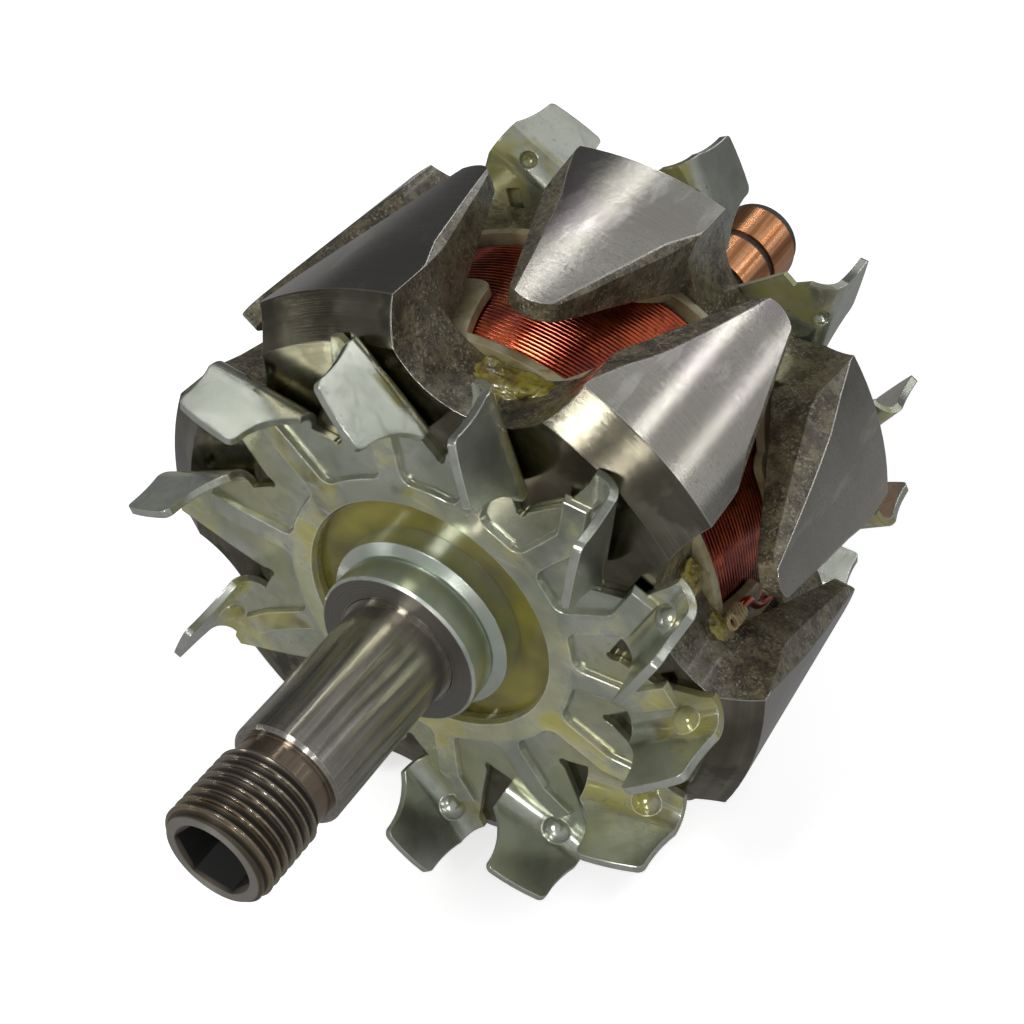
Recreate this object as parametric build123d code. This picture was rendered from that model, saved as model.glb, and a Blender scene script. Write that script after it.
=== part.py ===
"""Claw-pole alternator rotor, in millimetres.

The spin axis is world +Y, from the threaded end to the slip rings, and +Z is up.
The origin is on the axis, at the front face of the spacer collar.
Every piece is drawn about a local Z axis and then laid down along world Y.
"""
import math
import os

from build123d import *

# Fits
slide_gap = 0.02          # spacer collar on the shaft

# Shaft
thread_r = 8.0            # M16 major radius
thread_len = 12.3
thread_chamfer = 1.0
neck_r = 7.2              # thread run-out
neck_len = 2.9
journal_r = 8.5           # 17 mm bearing seats
front_journal_len = 26.1
press_r = 9.75            # knurled seat of the pole pieces
shoulder_r = 10.5
shoulder_len = 8.0
rear_journal_len = 22.0
ring_core_r = 4.6
socket_flats = 10.0
socket_depth = 11.0
socket_mouth_r = 5.6
collar_seat_r = 9.0       # a step that the front bearing's race comes up to

# Spacer collar
collar_r = 12.7
collar_lip_r = 14.4
collar_lip_at = 6.0
collar_groove = 0.4
collar_chamfer = 0.3

# Claw poles
pole_front = 9.9          # front pole face, behind the collar face
pole_thick = 11.5
pole_space = 30.0         # between the two poles
pole_r = 49.8
band_r = pole_r - 5.9     # inner edge of the turned chamfer band
band_depth = 3.5
claw_count = 6
front_claw_turn = 30.0    # first front claw, from straight up
valley_r = 14.6
valley_bottom_r = pole_r - 12.3
claw_at = (-1.0, 4.0, 8.0, 13.6, 18.0, 22.6, 26.6)         # stations behind the pole's inner face
claw_low = (12.0, 11.0, 9.6, 7.7, 6.2, 4.6, 3.1)           # side wall, lower turn
claw_high = (12.0, 10.9, 9.9, 8.4, 7.2, 6.0, 4.8)          # side wall, higher turn
face_at = (-8.0, 0.0, 6.0, 13.6, 33.0)     # stations of the machined face's edges
face_low = (12.2, 9.5, 7.1, 5.0, 0.4)
face_high = (12.6, 11.6, 9.2, 7.4, 2.8)
bevel_slope = 1.2         # how much a bevel spreads for each millimetre of depth
bevel_deep = 5.0
bevel_room = 21.0
claw_under_r = pole_r - 9.0
claw_under_tip_r = pole_r - 2.8
core_r = 26.0

# Bobbin and winding
flange_r = claw_under_r - 1.2
coil_r = flange_r - 1.6
coil_inner_r = 28.0
flange_t = 1.6
petal_t = 1.3
petal_waist_at = 5.0
petal_corner = 2.6
petal_reach = 14.4        # from the pole's inner face, front side
petal_root_half = 13.6
petal_waist_half = 11.6
petal_end_half = 9.9
rear_petal_reach = 10.0
rear_petal_root_half = 11.0
rear_petal_waist_half = 8.0
rear_petal_end_half = 5.2

# Fans
sheet = 1.2
fan_hole_r = 19.7
ring_outer_r = 24.1
press_rise = 0.9          # height of the pressed ring and ribs
rib_half = 2.1
slot_end_r = 29.0
edge_r = 42.4             # the flat's corner before the fold
slot_half = 0.7
slot_flare = 0.9          # how much wider a slot gets on each side towards the rim
rim_r = 45.3
bend_r = 3.2
blade_turn = 50.0         # fold line direction, back from the blade's slot
fold_off = 25.85          # fold line's distance from the axis, front fan
rear_out = 2.95           # the rear blades stand further out, along and up
rear_along = 2.0
rear_up = 1.6
fold_from = 23.2
fold_to = 38.5
edge_from = 27.3
edge_to = 37.4
edge_from_up = 13.8
edge_to_up = 12.4
edge_hollow = 1.3         # the blade's inner edge is hollowed by this much
gusset_at = 33.0
gusset_r = 2.6
front_slots = (-109.6, -72.4, -36.6, -3.3, 21.6, 46.4, 69.1, 93.4, 122.4, 152.4, 180.4, 216.4)
rear_fan_turn = 54.6

# Slip rings
ring_r = 8.2
ring_in_r = 6.7
ring_land = 9.3
ring_first = 4.0          # first ring, behind the rear journal
ring_space = 2.1
moulding_r = 7.6
moulding_nose = 2.3
rail_half = 1.3
rail_bottom_r = 5.0
bar_half = 0.7
bar_r = 5.8

# Leads
wire_r = 0.65
sleeve_r = 1.15
lead_r = flange_r + 1.5   # a lead passes over the bobbin's petals here
groove_w = 3.2
groove_depth = 3.0
hub_r = 13.4              # moulded terminal hub
terminal_r = 14.6
terminal_len = 7.1
clip_t = 0.6
clip_w = 1.6
clip_gap = 0.1
crimp_len = 2.8
lead_turns = (90.0, 270.0)
lead_start_len = 3.6
tie_r = 1.3
tie_len = 2.8

# Stations along the axis
pole_front_in = pole_front + pole_thick
pole_rear_in = pole_front_in + pole_space
pole_rear = pole_rear_in + pole_thick
pole_middle = (pole_front_in + pole_rear_in) / 2
press_end = pole_rear + terminal_len
shoulder_end = press_end + shoulder_len
journal_end = shoulder_end + rear_journal_len
ring_one = journal_end + ring_first
ring_two = ring_one + ring_land + ring_space
ring_end = ring_two + ring_land
shaft_end = ring_end + moulding_nose
claw_pitch = 360.0 / claw_count
coil_front = pole_front_in + flange_t
coil_rear = pole_rear_in - flange_t

clip_at = pole_rear + 1.6
wire_end_r = terminal_r + sleeve_r + 1.4

lay_down = Plane(origin=(0, 0, 0), x_dir=(0, 0, 1), z_dir=(0, 1, 0))


def turned(points):
    """A solid of revolution from (radius, station) corners."""
    outline = make_face(Polyline(*[(r, 0, z) for r, z in points], close=True))
    return revolve(outline, Axis.Z, 360)


def tube(inner, outer, start, end):
    return turned([(inner, start), (outer, start), (outer, end), (inner, end)])


def at(radius, turn, station=0.0):
    angle = math.radians(turn)
    return Vector(radius * math.cos(angle), radius * math.sin(angle), station)


def around(shape, turns):
    return [Rot(0, 0, turn) * shape for turn in turns]


def radial_plane(turn, station=0.0):
    """Sketch x runs round the axis, sketch y along it, and the normal points outwards."""
    return Plane(origin=(0, 0, station), x_dir=at(1, turn + 90), z_dir=at(1, turn))


def shaft():
    front = -front_journal_len - neck_len - thread_len
    body = turned([
        (0, front),
        (thread_r - thread_chamfer, front),
        (thread_r, front + thread_chamfer),
        (thread_r, front + thread_len - 0.4),
        (neck_r, front + thread_len),
        (neck_r, -front_journal_len),
        (journal_r - 0.5, -front_journal_len),
        (journal_r, -front_journal_len + 0.5),
        (journal_r, 0),
        (collar_seat_r, 0),
        (collar_seat_r, pole_front - 0.4),
        (press_r - 0.4, pole_front - 0.4),
        (press_r, pole_front),
        (press_r, press_end),
        (shoulder_r, press_end),
        (shoulder_r, shoulder_end),
        (journal_r, shoulder_end),
        (journal_r, journal_end - 0.6),
        (journal_r - 0.6, journal_end),
        (ring_core_r, journal_end),
        (ring_core_r, shaft_end),
        (0, shaft_end),
    ])
    hexagon = RegularPolygon(socket_flats / 2, 6, major_radius=False)
    socket = Pos(0, 0, front) * extrude(hexagon, socket_depth)
    mouth_depth = 0.6
    mouth = turned([(0, front), (socket_mouth_r, front), (socket_flats / 2, front + mouth_depth),
                    (0, front + mouth_depth)])
    drill_tip = turned([(0, front + socket_depth), (socket_flats / 2 - 0.4, front + socket_depth),
                        (0, front + socket_depth + 1.8)])
    slot_depth = shoulder_r - rail_bottom_r + 1
    rail = Pos(rail_bottom_r + slot_depth / 2, 0, (pole_rear + journal_end) / 2) * Box(
        slot_depth, 2 * rail_half, journal_end - pole_rear)
    return body - socket - mouth - drill_tip - around(rail, lead_turns)


def front_collar():
    groove_at = collar_lip_at - 1.4
    return turned([
        (collar_seat_r + slide_gap + collar_chamfer, 0),
        (collar_r - 0.4, 0),
        (collar_r, 0.4),
        (collar_r, groove_at),
        (collar_r - collar_groove, groove_at + 0.1),
        (collar_r - collar_groove, groove_at + 0.5),
        (collar_r, groove_at + 0.6),
        (collar_lip_r, collar_lip_at),
        (collar_lip_r, pole_front),
        (press_r + slide_gap, pole_front),
        (press_r + slide_gap, pole_front - 0.5),
        (collar_seat_r + slide_gap, pole_front - 0.5),
        (collar_seat_r + slide_gap, collar_chamfer),
    ])


def claw_finger():
    """One claw on the X axis, reaching back from the front pole's inner face."""
    stations = [pole_front_in + s for s in claw_at]
    low = Spline(*[(-half, y) for half, y in zip(claw_low, stations)])
    high = Spline(*[(half, y) for half, y in zip(claw_high, stations)])
    middle = (claw_high[-1] - claw_low[-1]) / 2
    tip = ThreePointArc(low @ 1, (middle, pole_rear_in), high @ 1)
    root = Line(low @ 0, high @ 0)
    prism = extrude(radial_plane(0) * make_face([low, tip, high, root]), pole_r + 10, dir=(1, 0, 0))
    start = stations[0]
    past = pole_rear_in + 1
    shell = turned([(claw_under_r, start), (pole_r, start), (pole_r, past), (claw_under_tip_r, past),
                    (claw_under_tip_r, pole_rear_in), (claw_under_r, pole_front_in)])
    return prism & shell


def claw_bevel(halves, side):
    """What the bevel beside the machined face of the claw on the X axis takes away."""
    above = 0.5
    points = []
    for half, station in zip(halves, face_at):
        drop = pole_r - math.sqrt(pole_r ** 2 - half ** 2)
        points.append((side * (half - bevel_slope * (above + drop)), pole_front_in + station))
    beyond = side * bevel_room
    points += [(beyond, points[-1][1]), (beyond, points[0][1])]
    outline = Pos(pole_r + above, 0, 0) * (radial_plane(0) * make_face(Polyline(*points, close=True)))
    length = (bevel_deep + above) * math.hypot(1, bevel_slope)
    return extrude(outline, length, dir=(-1, side * bevel_slope, 0))


def claw_pole():
    """The front pole: a forged disc with six valleys, and its claws."""
    disc = turned([
        (press_r, pole_front),
        (band_r, pole_front),
        (pole_r, pole_front + band_depth),
        (pole_r, pole_front_in),
        (press_r, pole_front_in),
    ])
    valley_len = pole_thick + 6
    valley = Pos(valley_bottom_r + valley_r, 0, pole_front - 1 + valley_len / 2) * Cylinder(
        valley_r, valley_len)
    half = claw_pitch / 2
    claws = [front_claw_turn + claw_pitch * i for i in range(claw_count)]
    disc -= around(valley, [turn + half for turn in claws])
    finger = claw_finger() - around(valley, [-half, half])
    whole = disc + around(finger, claws)
    return whole - around(claw_bevel(face_low, -1), claws) - around(claw_bevel(face_high, 1), claws)


def lead_groove(turn):
    outer = valley_bottom_r + 2
    length = outer - terminal_r + 2.4
    groove = Pos(outer - length / 2, 0, pole_rear - groove_depth / 2) * Box(
        length, groove_w, groove_depth)
    return Rot(0, 0, turn) * groove


def mirrored_back(shape):
    """The same shape on the rear side, mirrored across the middle of the winding."""
    return mirror(shape, Plane((0, 0, pole_middle)))


def rear_claw_pole():
    pole = Rot(0, 0, claw_pitch / 2) * mirrored_back(claw_pole())
    return pole - [lead_groove(turn) for turn in lead_turns]


def petal(reach, root_half, waist_half, end_half):
    """The bobbin's insulating tongue under a front claw on the X axis."""
    start = pole_front_in
    end = start + reach
    waist = start + petal_waist_at
    side_end = end - petal_corner
    top_half = end_half - petal_corner
    right = Spline((root_half, start), (waist_half, waist), (end_half, side_end))
    left = Spline((-root_half, start), (-waist_half, waist), (-end_half, side_end))
    middle = petal_corner * math.sqrt(0.5)
    outline = make_face([
        right,
        ThreePointArc((end_half, side_end), (top_half + middle, side_end + middle), (top_half, end)),
        Line((top_half, end), (-top_half, end)),
        ThreePointArc((-top_half, end), (-top_half - middle, side_end + middle), (-end_half, side_end)),
        left,
        Line((-root_half, start), (root_half, start)),
    ])
    prism = extrude(radial_plane(0) * outline, 60, dir=(1, 0, 0))
    return prism & tube(flange_r - petal_t, flange_r, start, end)


def bobbin():
    body = turned([
        (core_r, pole_front_in),
        (flange_r, pole_front_in),
        (flange_r, coil_front),
        (coil_inner_r, coil_front),
        (coil_inner_r, coil_rear),
        (flange_r, coil_rear),
        (flange_r, pole_rear_in),
        (core_r, pole_rear_in),
    ])
    claws = [front_claw_turn + claw_pitch * i for i in range(claw_count)]
    front = around(petal(petal_reach, petal_root_half, petal_waist_half, petal_end_half), claws)
    rear_petal = mirrored_back(petal(rear_petal_reach, rear_petal_root_half, rear_petal_waist_half,
                                     rear_petal_end_half))
    rear = around(rear_petal, [turn + claw_pitch / 2 for turn in claws])
    return body + front + rear


def field_winding():
    return tube(coil_inner_r, coil_r, coil_front, coil_rear)


def flat(direction, off, along, up):
    """A point of a blade: along the fold line, off the axis, up from the pole face."""
    angle = math.radians(direction)
    return Vector(along * math.cos(angle) - off * math.sin(angle),
                  along * math.sin(angle) + off * math.cos(angle), up)


def sector(slot, gap, out, along):
    """The flat of one blade, from the slot before it to its own."""
    before = slot - gap
    inside = fold_off + out - sheet / 2 - bend_r
    direction = slot - blade_turn
    outer = flat(direction, inside, fold_to + along, 0)
    fold_turn = direction + math.degrees(math.asin(inside / edge_r))
    edge_turn = min(before + 9.4, fold_turn - 0.8)
    corners = [Vector(0, 0, 0), at(fan_hole_r, before), at(slot_end_r, before),
               at(slot_end_r + 2.6, before + 2.2), at(36.1, before + 5.5), at(edge_r, edge_turn)]
    rim_turn = edge_turn + 1.3
    outer_turn = math.degrees(math.atan2(outer.Y, outer.X))
    if (outer_turn - rim_turn) % 360 < 180:
        steps = 3
        sweep_by = (outer_turn - rim_turn) % 360
        corners += [at(rim_r, rim_turn + sweep_by * i / steps) for i in range(steps)]
    corners += [outer, flat(direction, inside, fold_from + along, 0), at(slot_end_r, slot),
                at(fan_hole_r, slot)]
    return make_face(Polyline(*corners, close=True))


def blade(slot, out, along, up):
    """The bent-up blade with its bend and the pressed gusset across the fold."""
    direction = slot - blade_turn
    off = fold_off + out
    foot = sheet + bend_r
    wall = Plane(origin=flat(direction, off, along, 0), x_dir=at(1, direction),
                 z_dir=at(1, direction - 90))
    low = Vector(fold_from, foot)
    inner = Vector(edge_from, edge_from_up + up)
    outer = Vector(edge_to, edge_to_up + up)
    high = Vector(fold_to, foot)
    paddle = make_face([
        ThreePointArc(low, (low + inner) / 2 + Vector(edge_hollow, -edge_hollow / 3), inner),
        ThreePointArc(inner, (inner + outer) / 2 + Vector(0, 0.35), outer),
        ThreePointArc(outer, (outer + high) / 2 - Vector(edge_hollow / 3, 0), high),
        Line(high, low),
    ])
    paddle = fillet(paddle.vertices().sort_by(Axis.Y)[-2:], 1.2)
    plate = extrude(wall * paddle, sheet / 2, both=True)

    centre = off - sheet / 2 - bend_r
    across = Plane(origin=flat(direction, 0, fold_from + along, 0), x_dir=at(1, direction + 90),
                   z_dir=at(1, direction))
    outer_r = bend_r + sheet
    corner = math.sqrt(0.5)
    bend = make_face([
        Line((centre, sheet), (centre, 0)),
        ThreePointArc((centre, 0), (centre + outer_r * corner, foot - outer_r * corner),
                      (centre + outer_r, foot)),
        Line((centre + outer_r, foot), (centre + bend_r, foot)),
        ThreePointArc((centre + bend_r, foot), (centre + bend_r * corner, foot - bend_r * corner),
                      (centre, sheet)),
    ])
    plate += extrude(across * bend, fold_to - fold_from, dir=at(1, direction))
    return plate, gusset(direction, centre, along)


def gusset(direction, centre, along):
    """The dimple pressed through the fold, as a bump to add and a hollow to cut."""
    foot = sheet + bend_r
    outer_r = bend_r + sheet
    corner = math.sqrt(0.5)
    axis = Plane(origin=flat(direction, centre, gusset_at + along, foot), z_dir=at(1, direction))
    middle = flat(direction, centre + outer_r * corner, gusset_at + along, foot - outer_r * corner)
    place = Plane(origin=middle, z_dir=(middle - axis.origin).normalized())
    inside = axis * Cylinder(outer_r, 4 * gusset_r)
    return (place * Sphere(gusset_r)) & inside, place * Sphere(gusset_r - sheet)


def fan(slots, out=0.0, along=0.0, up=0.0):
    """A pressed sheet fan on a pole face at Z = 0, with its blades bent up along +Z."""
    hub = Circle(ring_outer_r)
    flats = None
    ribs = hub
    parts = []
    hollows = []
    rib_end = fold_off + out - sheet / 2 - bend_r - 1.6
    for index, slot in enumerate(slots):
        gap = (slot - slots[index - 1]) % 360
        piece = sector(slot, gap, out, along)
        flats = piece if flats is None else flats + piece
        foot = flat(slot - blade_turn, rib_end, gusset_at + along, 0)
        middle = slot - gap / 2
        path = Polyline(at(ring_outer_r - 3, middle), at(ring_outer_r + 9, middle), foot)
        ribs += trace(path, 2 * rib_half)
        plate, (bump, hollow) = blade(slot, out, along, up)
        parts += [plate, bump]
        hollows.append(hollow)
    near = slot_end_r + slot_half
    far = near + 12.0
    slot_cut = make_face(Polyline((near, slot_half), (far, slot_half + slot_flare),
                                  (far, -slot_half - slot_flare), (near, -slot_half), close=True))
    slot_cut += Pos(near, 0) * Circle(slot_half)
    for slot in slots:
        flats -= Rot(0, 0, slot) * slot_cut
    ribs = offset(offset(ribs, 1.6), -1.6)
    hole = Circle(fan_hole_r)
    ribs -= hole
    floor = extrude(flats - hole, sheet)
    floor -= extrude(offset(ribs, -0.9), sheet)
    raised = Pos(0, 0, press_rise) * extrude(ribs, sheet, taper=20)
    whole = floor + raised
    for item in parts:
        whole += item
    return whole - hollows


def front_fan():
    return Pos(0, 0, pole_front) * mirror(fan(front_slots), Plane.XY)


def rear_fan():
    slots = [slot + rear_fan_turn for slot in front_slots]
    return Pos(0, 0, pole_rear) * fan(slots, rear_out, rear_along, rear_up)


def slip_ring(start):
    return tube(ring_in_r, ring_r, start, start + ring_land)


def ring_bar(end):
    start = pole_rear + 1.5
    strip = Pos((bar_r + ring_in_r) / 2, 0, (start + end) / 2) * Box(
        2 * (ring_in_r - bar_r), 2 * bar_half, end - start)
    return strip & tube(bar_r, ring_in_r, start, end)


def ring_bars():
    ends = (ring_one + ring_land / 2, ring_two + ring_land / 2)
    return [Rot(0, 0, turn) * ring_bar(end) for turn, end in zip(lead_turns, ends)]


def slip_ring_body():
    body = tube(ring_core_r, moulding_r, journal_end, shaft_end)
    rail_len = journal_end - pole_rear
    rail = Pos((rail_bottom_r + journal_r) / 2, 0, pole_rear + rail_len / 2) * Box(
        journal_r - rail_bottom_r - 0.4, 2 * rail_half, rail_len)
    body += around(rail, lead_turns)
    for start in (ring_one, ring_two):
        body -= tube(ring_in_r, moulding_r + 1, start, start + ring_land)
    return body - ring_bars() - around(terminal_clip(), lead_turns)


def terminal_hub():
    """The moulded hub behind the rear pole, with a boss for each terminal clip."""
    body = tube(press_r, hub_r, pole_rear, press_end)
    boss = Pos(terminal_r - 1.8, 0, pole_rear + terminal_len / 2) * Box(3.6, 7.0, terminal_len)
    body += around(boss, lead_turns)
    body -= tube(0, press_r, pole_rear, press_end)
    slot_len = terminal_r + 1 - press_r
    slot = Pos(press_r + slot_len / 2 - 1, 0, clip_at + clip_t / 2) * Box(
        slot_len + 1, clip_w + 2 * clip_gap, clip_t + 2 * clip_gap)
    return body - around(slot, lead_turns)


def terminal_clip():
    """A brass strap out from the ring bar, with a crimp round the end of the lead."""
    strap = Pos((ring_in_r + wire_end_r) / 2, 0, clip_at + clip_t / 2) * Box(
        wire_end_r - ring_in_r, clip_w, clip_t)
    crimp = Pos(wire_end_r, 0, clip_at + crimp_len / 2) * Cylinder(wire_r + clip_t, crimp_len)
    bore = Pos(wire_end_r, 0, clip_at + crimp_len / 2) * Cylinder(wire_r, crimp_len)
    return strap + crimp - bore - tube(0, ring_in_r, clip_at, clip_at + clip_t)


def lead(turn, points):
    """Straight off the winding, down the rear valley and along the groove to the terminal."""
    level = pole_rear - groove_depth / 2
    straight = Line(points[0], points[0] + Vector(0, 0, lead_start_len))
    rise = Spline(straight @ 1, *points[1:], at(valley_bottom_r - 1.0, turn, level),
                  tangents=(Vector(0, 0, 1), at(-1, turn)))
    end = at(wire_end_r, turn, level)
    top = end + Vector(0, 0, terminal_len - 1)
    run = FilletPolyline(rise @ 1, end, top, radius=2.0)
    path = Wire([straight, rise, *run.edges()])
    return sweep(Plane(origin=path @ 0, z_dir=path % 0) * Circle(wire_r), path)


def groove_sleeve(turn):
    level = pole_rear - groove_depth / 2
    length = valley_bottom_r - terminal_r - 9.0
    bore = Circle(sleeve_r) - Circle(wire_r)
    sleeve = Plane(origin=at(terminal_r + 6.0, turn, level), z_dir=at(1, turn)) * bore
    return extrude(sleeve, length)


def outer_points():
    """Where the visible lead passes, from the front flange back over the winding."""
    turn = lead_turns[0]
    return [at(lead_r, turn - 18.4, coil_front - 1.0),
            at(lead_r, turn - 14.0, pole_front_in + 8.6),
            at(lead_r + 0.3, turn - 11.4, pole_front_in + 13.0),
            at(lead_r, turn - 9.5, pole_front_in + 21.0),
            at(lead_r, turn - 5.0, pole_rear_in + 0.6),
            at(lead_r - 0.2, turn, pole_rear - 5.2)]


def lead_outer():
    return lead(lead_turns[0], outer_points())


def lead_inner():
    turn = lead_turns[1]
    points = [at(coil_r + wire_r + 0.05, turn - 8.0, pole_rear_in - 13.0),
              at(lead_r, turn - 4.0, pole_rear_in),
              at(lead_r - 0.2, turn, pole_rear - 5.2)]
    return lead(turn, points)


def lead_tie():
    """The varnished binding of the lead where it leaves the front flange."""
    start = outer_points()[0] + Vector(0, 0, (lead_start_len - tie_len) / 2)
    rounded = (tie_r - wire_r) / 2
    return Pos(start) * turned([(wire_r, 0), (tie_r - rounded, 0), (tie_r, rounded),
                                (tie_r, tie_len - rounded), (tie_r - rounded, tie_len),
                                (wire_r, tie_len)])


pieces = {
    "shaft": shaft,
    "front_collar": front_collar,
    "front_claw_pole": claw_pole,
    "rear_claw_pole": rear_claw_pole,
    "pole_core": lambda: tube(press_r, core_r, pole_front_in, pole_rear_in),
    "bobbin": bobbin,
    "field_winding": field_winding,
    "front_fan": front_fan,
    "rear_fan": rear_fan,
    "slip_ring_body": slip_ring_body,
    "slip_ring_front": lambda: slip_ring(ring_one),
    "slip_ring_rear": lambda: slip_ring(ring_two),
    "ring_bar_a": lambda: ring_bars()[0],
    "ring_bar_b": lambda: ring_bars()[1],
    "terminal_hub": terminal_hub,
    "terminal_clip_a": lambda: Rot(0, 0, lead_turns[0]) * terminal_clip(),
    "terminal_clip_b": lambda: Rot(0, 0, lead_turns[1]) * terminal_clip(),
    "lead_outer": lead_outer,
    "lead_inner": lead_inner,
    "groove_sleeve_a": lambda: groove_sleeve(lead_turns[0]),
    "groove_sleeve_b": lambda: groove_sleeve(lead_turns[1]),
    "lead_tie": lead_tie,
}

os.makedirs("parts", exist_ok=True)
for name, make in pieces.items():
    export_step(lay_down * make(), "parts/" + name + ".step")
    print(name)
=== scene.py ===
import math

import bmesh
import bpy
from mathutils import Matrix, Vector, noise


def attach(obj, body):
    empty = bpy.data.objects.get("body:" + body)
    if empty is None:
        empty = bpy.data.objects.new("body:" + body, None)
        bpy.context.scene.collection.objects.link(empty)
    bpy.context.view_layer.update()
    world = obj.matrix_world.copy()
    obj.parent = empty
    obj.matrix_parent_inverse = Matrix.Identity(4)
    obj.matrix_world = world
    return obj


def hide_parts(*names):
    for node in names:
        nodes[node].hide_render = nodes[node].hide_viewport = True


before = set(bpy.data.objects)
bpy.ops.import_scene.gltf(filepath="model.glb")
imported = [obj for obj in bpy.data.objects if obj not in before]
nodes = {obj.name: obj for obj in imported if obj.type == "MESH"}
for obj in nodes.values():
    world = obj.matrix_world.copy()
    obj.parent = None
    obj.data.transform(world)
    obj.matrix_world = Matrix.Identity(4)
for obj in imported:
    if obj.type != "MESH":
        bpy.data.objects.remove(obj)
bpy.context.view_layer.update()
mm = 0.001
print("frame loaded:", len(nodes), "nodes")


# camera, light and floor

view = {
    "place": (0.06614359, -0.12503028, 0.17093958),
    "turn": (44.72519, -7.52633, 30.41807),
    "lens": 55.370,
}
studio = {
    "sky": (0.09, 0.46),          # strength on the dark side and on the bright side
    "skyColour": (0.97, 0.98, 1.0, 1),
    "skyTowards": (0.50, -0.62, 0.60),
    "skyDarkTo": -0.7,
    "backdrop": 0.96,
    "floorColour": (0.93, 0.93, 0.93, 1),
    "floorGlow": 0.60,
    "floorFade": (0.48, 1.1),     # how far out the paper starts and stops getting darker
    "floorFar": 0.05,
    "floorInMetal": 0.22,
    "floorReach": 3.0,
    "floorDepth": -49.8,          # the lowest claw stands on it
    "middle": (0, 0.03, 0),       # what the lamps point at
    # name, turn about the spin axis, lean towards the thread, distance, width, length and power
    "soft": [
        ("streakLamp", -26, -46, 0.60, 0.012, 0.46, 0.13),
        ("besideStreakLamp", -33, -46, 0.60, 0.008, 0.40, 0.035),
        ("rightStreakLamp", 33, -46, 0.60, 0.016, 0.46, 0.12),
        ("farStreakLamp", 51, -46, 0.60, 0.012, 0.30, 0.05),
        ("faceLamp", -6, -48, 0.75, 0.50, 0.50, 0.30),
        ("rightFaceLamp", 42, -48, 0.75, 0.44, 0.50, 0.26),
        ("rearLamp", 96, -36, 0.70, 0.20, 0.40, 0.03),
        ("leftLamp", -100, 40, 0.70, 0.12, 0.20, 1.15),
        ("topLamp", -22, 44, 0.70, 0.12, 0.20, 1.4),
        ("bandLamp", 15, 73, 0.60, 0.016, 0.16, 0.40),
        ("secondBandLamp", 47, 72, 0.60, 0.012, 0.12, 0.14),
        ("lowFrontLamp", 200, 62, 0.60, 0.12, 0.12, 0.30),
    ],
}


def placeCamera():
    camera = bpy.data.cameras.new("camera")
    camera.sensor_width = 36
    camera.lens = view["lens"]
    camera.clip_start = 0.01
    holder = bpy.data.objects.new("camera", camera)
    holder.location = view["place"]
    holder.rotation_euler = [math.radians(a) for a in view["turn"]]
    bpy.context.scene.collection.objects.link(holder)
    bpy.context.scene.camera = holder


def lightStudio():
    world = bpy.data.worlds.new("studio")
    world.use_nodes = True
    tree = world.node_tree
    sky = tree.nodes["Background"]
    sky.inputs["Color"].default_value = studio["skyColour"]
    spot = tree.nodes.new("ShaderNodeTexCoord")
    towards = tree.nodes.new("ShaderNodeVectorMath")
    towards.operation = "DOT_PRODUCT"
    towards.inputs[1].default_value = Vector(studio["skyTowards"]).normalized()
    tree.links.new(spot.outputs["Generated"], towards.inputs[0])
    fade = tree.nodes.new("ShaderNodeMapRange")
    fade.interpolation_type = "SMOOTHSTEP"
    fade.inputs["From Min"].default_value = studio["skyDarkTo"]
    fade.inputs["To Min"].default_value, fade.inputs["To Max"].default_value = studio["sky"]
    tree.links.new(towards.outputs["Value"], fade.inputs["Value"])
    path = tree.nodes.new("ShaderNodeLightPath")      # the backdrop itself is plain and pale from any side
    seen = tree.nodes.new("ShaderNodeMix")
    seen.inputs[3].default_value = studio["backdrop"]
    tree.links.new(path.outputs["Is Camera Ray"], seen.inputs[0])
    tree.links.new(fade.outputs[0], seen.inputs[2])
    tree.links.new(seen.outputs[0], sky.inputs["Strength"])
    bpy.context.scene.world = world
    bpy.context.scene.view_settings.view_transform = "Standard"
    middle = Vector(studio["middle"])
    for name, turn, lean, reach, wide, deep, power in studio["soft"]:
        lamp = bpy.data.lights.new(name, "AREA")
        lamp.shape = "RECTANGLE"
        lamp.size = wide
        lamp.size_y = deep
        lamp.energy = power
        a, b = math.radians(turn), math.radians(lean)
        away = Vector((math.sin(a) * math.cos(b), -math.sin(b), math.cos(a) * math.cos(b)))
        holder = bpy.data.objects.new(name, lamp)
        side = Vector((0, 1, 0)).cross(away).normalized()
        along = away.cross(side)
        holder.matrix_world = Matrix.Translation(middle + away * reach) @ Matrix(
            (side, along, away)).transposed().to_4x4()
        bpy.context.scene.collection.objects.link(holder)


placeCamera()
lightStudio()


# small helpers for shader trees

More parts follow.
